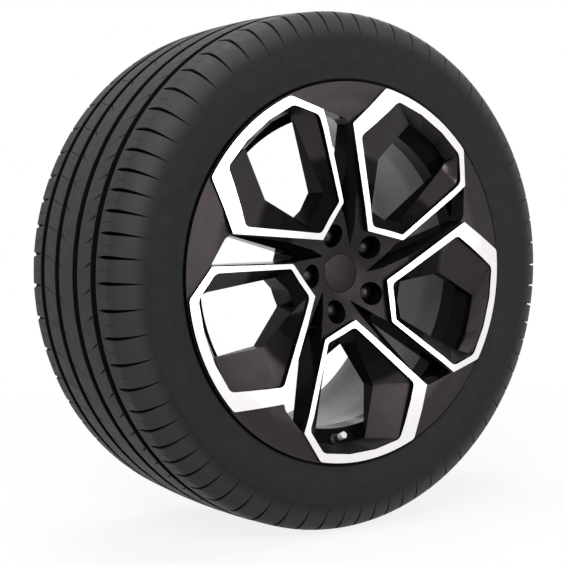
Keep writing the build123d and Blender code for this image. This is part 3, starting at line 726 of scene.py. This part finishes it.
    def groove_rows(self, groove: float, side: int, band: Band) -> list[Row]:
        """List the rows of one flank of a groove.

        Args:
            groove: the groove's axial place.
            side: -1 for the outboard flank, 1 for the inboard one.
            band: the band beside the flank.

        Returns:
            The rows, from the groove's floor up to its edge.
        """
        edge = groove + side * self.groove_half
        bevel = edge - side * self.groove_edge / self.groove_edge_slope
        floor = self.crown(groove) - self.groove_depth
        return [
            # the floor and bevel rows get the painted groove shade
            Row(groove + side * self.groove_floor_half, floor, band, False, True),
            Row(bevel, self.crown(edge) - self.groove_edge, band, False, True),
            Row(edge, self.crown(edge), band),
        ]

    def tread_rows(self) -> list[Row]:
        """List the rows across the tread.

        Returns:
            The rows, from the outboard shoulder to the inboard one.
        """
        bands = (Band.OUTBOARD, Band.OUTER_RIB, Band.CENTRE_RIB, Band.INNER_RIB, Band.INBOARD)
        rows = []
        for number, (band, places) in enumerate(zip(bands, self.rib_rows)):
            if number:
                rows.extend(self.groove_rows(self.groove_places[number - 1], 1, band))
            rows.extend(Row(axial, self.crown(axial), band) for axial in places)
            if number < len(self.groove_places):
                rows.extend(reversed(self.groove_rows(self.groove_places[number], -1, band)))
        return rows

    def liner_rows(self) -> list[Row]:
        """List the rows inside the tyre.

        Returns:
            The rows, from the inboard toe round to the outboard one.
        """
        top = (self.liner_half, self.outer_radius - self.liner_depth)
        rows = [Row(axial, radius, Band.CASING, False) for axial, radius in (*self.liner_wall, top)]
        return rows + [Row(-row.axial, row.radius, Band.CASING, False) for row in reversed(rows)]

    def section(self) -> list[Row]:
        """Return the whole closed section, from the outboard toe over the tread and back inside."""
        outboard = list(reversed(self.wall_rows(-1, Band.OUTBOARD)))
        return outboard + self.tread_rows() + self.wall_rows(1, Band.INBOARD) + self.liner_rows()

    @staticmethod
    def paths(rows: list[Row]) -> list[float]:
        """Measure each row's path length from the crown, positive to outboard.

        Args:
            rows: the closed section.

        Returns:
            One length for each row.
        """
        along = [0.0]
        for before, row in zip(rows, rows[1:]):
            rise = 0.0 if not row.cuttable or not before.cuttable else row.radius - before.radius
            along.append(along[-1] + math.hypot(row.axial - before.axial, rise))
        middle = min(range(len(rows)), key=lambda i: (abs(rows[i].axial), -rows[i].radius))
        return [along[middle] - length - rows[middle].axial for length in along]

    @staticmethod
    def inward(rows: list[Row]) -> list[Vector]:
        """Find the inward direction of each row, as a radius and an axial part.

        Args:
            rows: the closed section.

        Returns:
            One unit vector for each row.
        """
        result = []
        for number, row in enumerate(rows):
            before, after = rows[number - 1], rows[(number + 1) % len(rows)]
            if not before.cuttable:
                before = row
            if not after.cuttable:
                after = row
            run = Vector((after.radius - before.radius, after.axial - before.axial))
            result.append(Vector((-run.y, run.x)).normalized() if run.length else Vector((-1.0, 0.0)))
        return result

    def warp(self, angle: float) -> float:
        """Return an angle with the tread's pitch lengths varied round the tyre."""
        peak = math.radians(self.pitch_peak)
        return angle + self.pitch_swing / self.pitch_waves * math.sin(self.pitch_waves * (angle - peak))

    def column_place(self, row: Row, path: float, column: int) -> tuple[float, float]:
        """Find where a column of a row goes.

        Args:
            row: the row of the section.
            path: the row's path length from the crown.
            column: the column's number round the tyre.

        Returns:
            The angle round the axis and the depth below the surface.
        """
        plain = FULL_TURN * column / self.columns
        pattern = self.patterns.get(row.band)
        if pattern is None:
            return plain, 0.0
        per_pitch = self.columns // pattern.pitches
        pitch, step = divmod(column, per_pitch)
        share, shift, depth = (step + 0.5) / per_pitch, 0.0, 0.0
        for cut in pattern.cuts:
            if cut.holds(step):
                share = (cut.first_column + cut.columns / 2.0) / per_pitch
                fullness = cut.fullness(path) if row.cuttable else 0.0
                half = max(cut.least, cut.half_width * fullness)
                along = min(max(cut.share(path), 0.0), 1.0)
                shift = (cut.side(step) * half + cut.drift * along) / row.radius
                depth = cut.sinkage(path) if row.cuttable and cut.sinks(step) else 0.0
        turned = FULL_TURN * (pitch + share) / pattern.pitches + math.radians(pattern.clock)
        return self.warp(turned) + shift, depth

    def build(self, rubber: bpy.types.Material) -> bpy.types.Object:
        """Model the tyre and put it in place of its CAD solid.

        Args:
            rubber: the tyre's material.

        Returns:
            The new piece.
        """
        rows = self.section()
        paths = self.paths(rows)
        normals = self.inward(rows)
        mesh = bmesh.new()
        row_layer = mesh.verts.layers.int.new("row")
        # the mesh holds the painted shade of the grooves and cuts as an attribute
        painted_shade_layer = mesh.verts.layers.float.new("painted_groove_shade")
        ring = [mesh.verts.new((row.radius, self.middle + row.axial, 0.0)) for row in rows]
        for number, vert in enumerate(ring):
            vert[row_layer] = number
        edges = [mesh.edges.new((ring[i], ring[(i + 1) % len(ring)])) for i in range(len(ring))]
        bmesh.ops.spin(
            mesh, geom=ring + edges, cent=(0, 0, 0), axis=(0, 1, 0), dvec=(0, 0, 0), angle=FULL_TURN,
            steps=self.columns, space=Matrix.Identity(4), use_merge=True, use_normal_flip=False,
            use_duplicate=False,
        )
        for vert in mesh.verts:
            number = vert[row_layer]
            row = rows[number]
            column = round(math.atan2(vert.co.z, vert.co.x) / FULL_TURN * self.columns) % self.columns
            angle, depth = self.column_place(row, paths[number], column)
            # painted shade: groove floors get it fully, cuts as far as they are sunk
            vert[painted_shade_layer] = 1.0 if row.painted_groove_shade else min(1.0, depth / self.painted_shade_depth)
            radius = row.radius + normals[number].x * depth
            axial = self.middle + row.axial + normals[number].y * depth
            vert.co = (radius * math.cos(angle), axial, radius * math.sin(angle))
        bmesh.ops.recalc_face_normals(mesh, faces=mesh.faces)
        piece = finish_mesh(mesh, "tyre_moulded", [rubber], self.sharp_bend)
        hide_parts(self.node)
        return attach(piece, "wheel")


def finish_mesh(
    mesh: bmesh.types.BMesh, name: str, materials: list[bpy.types.Material], sharp: float = SHARP_BEND
) -> bpy.types.Object:
    """Make a smooth-shaded object of a bmesh, with its sharper edges kept sharp.

    Args:
        mesh: the shape, which is freed.
        name: the object's name.
        materials: its materials in slot order.
        sharp: edges that bend by more degrees than this stay sharp.

    Returns:
        The linked object.
    """
    data = bpy.data.meshes.new(name)
    mesh.to_mesh(data)
    mesh.free()
    for material in materials:
        data.materials.append(material)
    data.shade_smooth()
    data.set_sharp_from_angle(angle=math.radians(sharp))
    piece = bpy.data.objects.new(name, data)
    bpy.context.scene.collection.objects.link(piece)
    return piece


class CastFinish(Enum):
    """The finishes of the casting, numbered as its material slots are."""

    # painted shade: a darker, duller copy of the black paint for faces turned away, deep faces and the flange
    # gap
    BLACK_WALL = 0
    MACHINED = 1
    BARREL = 2
    PANEL = 3


@dataclass
class AlloyWheel:
    """The cast wheel: the CAD shape with rounded edges, bright bands, and gloss black paint split by face:
    panels facing out keep the lighter paint, and faces turned away, deep faces and the flange gap get a darker
    copy as painted shade.
    """

    node: str = "alloy_wheel"
    merge: float = 0.00002
    flat_bend: float = 0.05
    edge_round: float = 0.0006
    edge_bend: float = 32.0
    edge_segments: int = 2
    dish: tuple[tuple[float, float], ...] = (
        (0.036, -0.0743), (0.066, -0.0783), (0.100, -0.0835),
        (0.208, -0.0929), (0.232, -0.0924), (0.264, -0.088),
    )
    dish_slack: float = 0.0016
    dish_slope: float = 0.9
    dish_start_share: float = 0.9
    barrel_radius: float = 0.205
    barrel_start: float = -0.016
    lip_start: float = 0.265
    lip_end: float = 0.2713
    lip_shown: float = 0.2668
    flange_start: float = 0.2625
    panel_slope: float = 0.4
    panel_depth: float = -0.062
    flank_slope: float = 0.96
    flank_reach: tuple[float, float] = (0.070, 0.135)
    corner_round: float = 0.0055
    corner_segments: int = 3
    corner_bend: float = 25.0
    corner_least: float = 0.003
    corner_upright: float = 0.9

    def dish_level(self, radius: float) -> float:
        """Find how far outboard the machined face stands.

        Args:
            radius: the distance from the axis.

        Returns:
            The face's place along the axis.
        """
        for (low_r, low_y), (high_r, high_y) in zip(self.dish, self.dish[1:]):
            if radius <= high_r:
                return low_y + (high_y - low_y) * (radius - low_r) / (high_r - low_r)
        return self.dish[-1][1]

    @staticmethod
    def least_radius(face: bmesh.types.BMFace) -> float:
        """Return how near a face comes to the axis."""
        return min(axis_distance(vert.co) for vert in face.verts)

    def finish_of(self, face: bmesh.types.BMFace) -> CastFinish:
        """Choose the finish of a face of the casting.

        Args:
            face: a face of the wheel.

        Returns:
            The face's finish.
        """
        centre = face.calc_center_median()
        radius = axis_distance(centre)
        near, far = self.flank_reach
        if face.normal.y < -self.dish_slope and radius > self.dish[1][0] * self.dish_start_share:
            if abs(centre.y - self.dish_level(radius)) < self.dish_slack:
                return CastFinish.MACHINED
        if radius > self.barrel_radius and centre.y > self.barrel_start:
            return CastFinish.BARREL
        # painted shade: the flange gap next to the tyre is painted black
        if self.least_radius(face) > self.flange_start:
            return CastFinish.BLACK_WALL
        # painted shade: deep faces are painted black
        if centre.y > self.panel_depth and radius > near:
            return CastFinish.BLACK_WALL
        # painted shade: faces turned away from the front get the black copy, and near the hub only faces that
        # look straight out keep the panel paint
        slope = self.flank_slope if near < radius < far else self.panel_slope
        return CastFinish.PANEL if face.normal.y < -slope else CastFinish.BLACK_WALL

    def is_corner(self, edge: bmesh.types.BMEdge) -> bool:
        """Tell whether an edge is an upright corner of the face's openings.

        Args:
            edge: an edge of the wheel.

        Returns:
            Whether it is one.
        """
        low, high = (vert.co for vert in edge.verts)
        run = high - low
        upright = abs(run.y) >= self.corner_upright * run.length
        if not edge.is_manifold or run.length < self.corner_least or not upright:
            return False
        middle = (low + high) / 2.0
        if not self.flank_reach[0] < axis_distance(middle) < self.lip_start:
            return False
        return middle.y < self.panel_depth and edge.calc_face_angle() > math.radians(self.corner_bend)

    def round_corners(self, mesh: bmesh.types.BMesh) -> None:
        """Round the upright corners of the openings, one by one.

        Args:
            mesh: the wheel's shape.
        """
        for edge in [edge for edge in mesh.edges if self.is_corner(edge)]:
            if edge.is_valid:
                bmesh.ops.bevel(
                    mesh, geom=[edge], offset=self.corner_round, offset_type="OFFSET", affect="EDGES",
                    segments=self.corner_segments, profile=ROUND_PROFILE, clamp_overlap=True, material=-1,
                )

    def draw_in_lips(self, mesh: bmesh.types.BMesh) -> None:
        """Draw the rim's two lips in, so that the tyre closes round the face as it does in the picture.

        Args:
            mesh: the wheel's shape.
        """
        share = (self.lip_shown - self.lip_start) / (self.lip_end - self.lip_start)
        for vert in mesh.verts:
            radius = axis_distance(vert.co)
            if radius > self.lip_start:
                scale = (self.lip_start + (radius - self.lip_start) * share) / radius
                vert.co.x *= scale
                vert.co.z *= scale

    def part_barrel(self, mesh: bmesh.types.BMesh) -> None:
        """Cut the rim's faces where the black paint ends, so that the border is a clean circle.

        Args:
            mesh: the wheel's shape.
        """
        rim = [face for face in mesh.faces if self.least_radius(face) > self.barrel_radius]
        edges = {edge for face in rim for edge in face.edges}
        verts = {vert for face in rim for vert in face.verts}
        bmesh.ops.bisect_plane(
            mesh, geom=[*verts, *edges, *rim], dist=self.merge, plane_co=(0.0, self.barrel_start, 0.0),
            plane_no=(0.0, 1.0, 0.0),
        )

    def build(self, finishes: dict[CastFinish, bpy.types.Material]) -> bpy.types.Object:
        """Model the wheel from a copy of its CAD shape and dress it.

        Args:
            finishes: the material of each finish.

        Returns:
            The new piece.
        """
        mesh = bmesh.new()
        mesh.from_mesh(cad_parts[self.node].data)
        bmesh.ops.remove_doubles(mesh, verts=mesh.verts, dist=self.merge)
        bmesh.ops.dissolve_limit(
            mesh, angle_limit=math.radians(self.flat_bend), use_dissolve_boundaries=False, verts=mesh.verts,
            edges=mesh.edges,
        )
        self.round_corners(mesh)
        self.draw_in_lips(mesh)
        self.part_barrel(mesh)
        for face in mesh.faces:
            face.material_index = self.finish_of(face).value
        piece = finish_mesh(mesh, "alloy_wheel_finished", [finishes[finish] for finish in CastFinish])
        rounding = piece.modifiers.new("edge_round", "BEVEL")
        rounding.width = self.edge_round
        rounding.segments = self.edge_segments
        rounding.limit_method = "ANGLE"
        rounding.angle_limit = math.radians(self.edge_bend)
        rounding.profile = ROUND_PROFILE
        rounding.material = -1
        shading = piece.modifiers.new("even_shading", "WEIGHTED_NORMAL")
        shading.keep_sharp = True
        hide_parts(self.node)
        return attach(piece, "wheel")


@dataclass
class Fittings:
    """The cap, bolts, covers and valve, which keep their CAD shapes and get finishes."""

    cap: str = "centre_cap"
    spring: str = "cap_spring_ring"
    bolts: str = "wheel_bolts"
    covers: tuple[str, ...] = (
        "bolt_cover_1", "bolt_cover_2", "bolt_cover_3", "bolt_cover_4", "bolt_cover_5",
    )
    rubber_parts: tuple[str, ...] = ("valve_stem", "valve_cap_seal")
    brass_parts: tuple[str, ...] = ("valve_tube", "valve_core", "valve_pin")
    valve_cap: str = "valve_cap"
    cap_paint: GlossPaint = GlossPaint(
        "cap_satin_paint", (0.0046, 0.0043, 0.0047), (0.009, 0.0080, 0.0088), roughness=0.22, specular=0.2,
        shine_tone=(1.0, 0.80, 0.85),
    )
    cover_paint: GlossPaint = GlossPaint(
        "cover_black", (0.0045, 0.0043, 0.0043), (0.008, 0.0075, 0.0075), roughness=0.24, specular=0.3
    )
    wire: PlainMetal = PlainMetal("spring_wire", (0.55, 0.55, 0.56), (0.40, 0.40, 0.41), roughness=0.3)
    zinc: PlainMetal = PlainMetal("zinc_bolt", (0.34, 0.34, 0.35), (0.24, 0.24, 0.25), roughness=0.38)
    brass: PlainMetal = PlainMetal(
        "valve_brass_turned", (0.70, 0.52, 0.27), (0.56, 0.40, 0.20), roughness=0.28
    )
    rubber: MouldedPlastic = MouldedPlastic(
        "valve_stem_rubber", (0.014, 0.014, 0.014), (0.024, 0.0235, 0.023), roughness=0.6,
        grain=Grain(1600.0, 2.0), relief=0.2,
    )
    pale: MouldedPlastic = MouldedPlastic(
        "valve_cap_pale", (0.78, 0.78, 0.77), (0.70, 0.70, 0.69), roughness=0.4, grain=Grain(1500.0, 2.0),
        relief=0.06,
    )

    def dress(self) -> list[str]:
        """Give each fitting its finish.

        Returns:
            The names of the nodes that were dressed.
        """
        plan = (
            (self.cap_paint, (self.cap,)),
            (self.wire, (self.spring,)),
            (self.zinc, (self.bolts,)),
            (self.pale, (self.valve_cap,)),
            (self.cover_paint, self.covers),
            (self.rubber, self.rubber_parts),
            (self.brass, self.brass_parts),
        )
        dressed = []
        for finish, names in plan:
            material = finish.material()
            for name in names:
                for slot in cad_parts[name].material_slots:
                    slot.material = material
            dressed.extend(names)
        return sorted(dressed)


@dataclass(frozen=True)
class Softbox:
    """A square soft light that looks at the wheel."""

    name: str
    place: tuple[float, float, float]
    size: float
    watts: float

    def hang(self) -> bpy.types.Object:
        """Hang the light in the scene.

        Returns:
            The light.
        """
        data = bpy.data.lights.new(self.name, "AREA")
        data.size = self.size
        data.energy = self.watts
        light = bpy.data.objects.new(self.name, data)
        light.location = self.place
        light.rotation_euler = (-Vector(self.place)).to_track_quat("-Z", "Y").to_euler()
        bpy.context.scene.collection.objects.link(light)
        return light


@dataclass
class Studio:
    """The pale floor, the soft light and the camera."""

    image_width: int = 565
    focal_pixels: float = 1372.0
    sensor: float = 36.0
    camera_place: tuple[float, float, float] = (-1.1295, -1.6196, 0.1151)
    camera_forward: tuple[float, float, float] = (0.5492, 0.8330, -0.0663)
    camera_roll: float = -0.496
    floor_half: float = 14.0
    floor_tone: float = 0.34
    shown_tone: float = 0.9
    background_share: float = 0.85
    shadow_reach: tuple[float, float] = (0.55, 1.7)
    world_fill: float = 0.22
    lights: tuple[Softbox, ...] = (
        Softbox("key_softbox", (-2.2, -2.4, 2.2), size=1.6, watts=105.0),
        Softbox("top_softbox", (-0.3, 0.2, 3.0), size=1.8, watts=60.0),
        Softbox("front_softbox", (0.85, -2.6, 0.35), size=1.8, watts=26.0),
        Softbox("rear_softbox", (2.2, 2.2, 1.9), size=1.8, watts=26.0),
    )

    def floor(self) -> bpy.types.Object:
        """Lay the floor under the tyre.

        Returns:
            The floor.
        """
        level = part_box("tyre")[0].z
        mesh = bmesh.new()
        bmesh.ops.create_grid(mesh, x_segments=2, y_segments=2, size=self.floor_half)
        bmesh.ops.translate(mesh, verts=mesh.verts, vec=(0.0, 0.0, level))
        piece = finish_mesh(mesh, "studio_floor", [self.floor_material()])
        return piece

    @staticmethod
    def background_rays(tree: bpy.types.NodeTree) -> Socket:
        """Tell the rays that see the background from those that light the object.

        Args:
            tree: the node tree to add to.

        Returns:
            The socket that is 1 for the first kind and 0 for the second.
        """
        path = tree.nodes.new("ShaderNodeLightPath")
        seen = path.outputs["Is Camera Ray"]
        for name in ("Is Glossy Ray", "Is Transmission Ray"):
            either = tree.nodes.new("ShaderNodeMath")
            either.operation = "MAXIMUM"
            tree.links.new(seen, either.inputs[0])
            tree.links.new(path.outputs[name], either.inputs[1])
            seen = either.outputs[0]
        return seen

    def floor_material(self) -> bpy.types.Material:
        """Make the floor's material: white to the eye and in reflections, with the object's shadow kept.

        Returns:
            The material.
        """
        material = bpy.data.materials.new("studio_floor_white")
        material.use_nodes = True
        tree = material.node_tree
        tree.nodes.clear()
        background = self.background_rays(tree)
        tone = map_range(tree, background, (0.0, 1.0), (self.floor_tone, self.shown_tone))
        paper = tree.nodes.new("ShaderNodeBsdfDiffuse")
        glow = tree.nodes.new("ShaderNodeEmission")
        glow.inputs["Color"].default_value = WHITE
        glow.inputs["Strength"].default_value = 1.0
        place = tree.nodes.new("ShaderNodeTexCoord")
        away = tree.nodes.new("ShaderNodeVectorMath")
        away.operation = "LENGTH"
        kept = (self.background_share, 1.0)
        fade = map_range(tree, away.outputs["Value"], self.shadow_reach, kept, Ramp.SMOOTH)
        share = tree.nodes.new("ShaderNodeMath")
        share.operation = "MULTIPLY"
        mix = tree.nodes.new("ShaderNodeMixShader")
        output = tree.nodes.new("ShaderNodeOutputMaterial")
        links = (
            (tone, paper.inputs["Color"]),
            (place.outputs["Object"], away.inputs[0]),
            (background, share.inputs[0]),
            (fade, share.inputs[1]),
            (share.outputs[0], mix.inputs["Fac"]),
            (paper.outputs[0], mix.inputs[1]),
            (glow.outputs[0], mix.inputs[2]),
            (mix.outputs[0], output.inputs["Surface"]),
        )
        for source, target in links:
            tree.links.new(source, target)
        return material

    def world(self) -> bpy.types.World:
        """Make the white surroundings, which light the object softly.

        Returns:
            The scene's world.
        """
        world = bpy.data.worlds.new("white_studio")
        world.use_nodes = True
        tree = world.node_tree
        backdrop = tree.nodes["Background"]
        backdrop.inputs["Color"].default_value = WHITE
        level = map_range(tree, self.background_rays(tree), (0.0, 1.0), (self.world_fill, 1.0))
        tree.links.new(level, backdrop.inputs["Strength"])
        bpy.context.scene.world = world
        return world

    def camera(self) -> bpy.types.Object:
        """Set up the camera at the photograph's viewing angle.

        Returns:
            The scene's camera.
        """
        data = bpy.data.cameras.new("studio_camera")
        data.sensor_width = self.sensor
        data.lens = self.focal_pixels * self.sensor / self.image_width
        camera = bpy.data.objects.new("studio_camera", data)
        look = Vector(self.camera_forward).to_track_quat("-Z", "Y").to_matrix()
        turn = look @ Matrix.Rotation(math.radians(self.camera_roll), 3, "Z")
        camera.matrix_world = Matrix.LocRotScale(Vector(self.camera_place), turn.to_quaternion(), None)
        bpy.context.scene.collection.objects.link(camera)
        bpy.context.scene.camera = camera
        return camera

    def build(self) -> None:
        """Set the floor, the surroundings, the lights and the camera."""
        self.floor()
        self.world()
        for light in self.lights:
            light.hang()
        self.camera()
        bpy.context.scene.view_settings.view_transform = "Standard"


def main() -> None:
    """Build and dress the assembly and light it."""
    logging.basicConfig(level=logging.INFO, format="%(message)s")
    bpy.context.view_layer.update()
    tyre = Tyre().build(TyreRubber().material())
    LOG.info("%s: %d faces", tyre.name, len(tyre.data.polygons))
    # darker, duller copy of the black paint: painted shade for faces turned away, deep faces and the flange
    # gap
    black = GlossPaint(
        "gloss_black_painted_shade", (0.0028, 0.0027, 0.0028), (0.005, 0.0047, 0.0048), roughness=0.14, specular=0.03
    )
    barrel = GlossPaint(
        "barrel_grey_paint", (0.040, 0.040, 0.042), (0.061, 0.061, 0.064), roughness=0.3, specular=0.25
    )
    # the panel paint carries a painted shade ring round the hub's flanks, and is partly darker over the hub
    panel = GlossPaint(
        "panel_brown_black_paint", (0.0050, 0.0050, 0.0060), (0.0115, 0.0112, 0.0132), roughness=0.3,
        specular=0.34, painted_shade_ring=(0.103, 0.112, 0.158, 0.176), hub_painted_shade_share=0.45, shine_tone=(1.0, 0.82, 0.87),
    )
    finishes = {
        CastFinish.BLACK_WALL: black.material(),
        CastFinish.MACHINED: TurnedFace().material(),
        CastFinish.BARREL: barrel.material(),
        CastFinish.PANEL: panel.material(),
    }
    wheel = AlloyWheel().build(finishes)
    LOG.info("%s: %d faces", wheel.name, len(wheel.data.polygons))
    for name in Fittings().dress():
        LOG.info("%s: dressed", name)
    Studio().build()


if __name__ == "__main__":
    main()
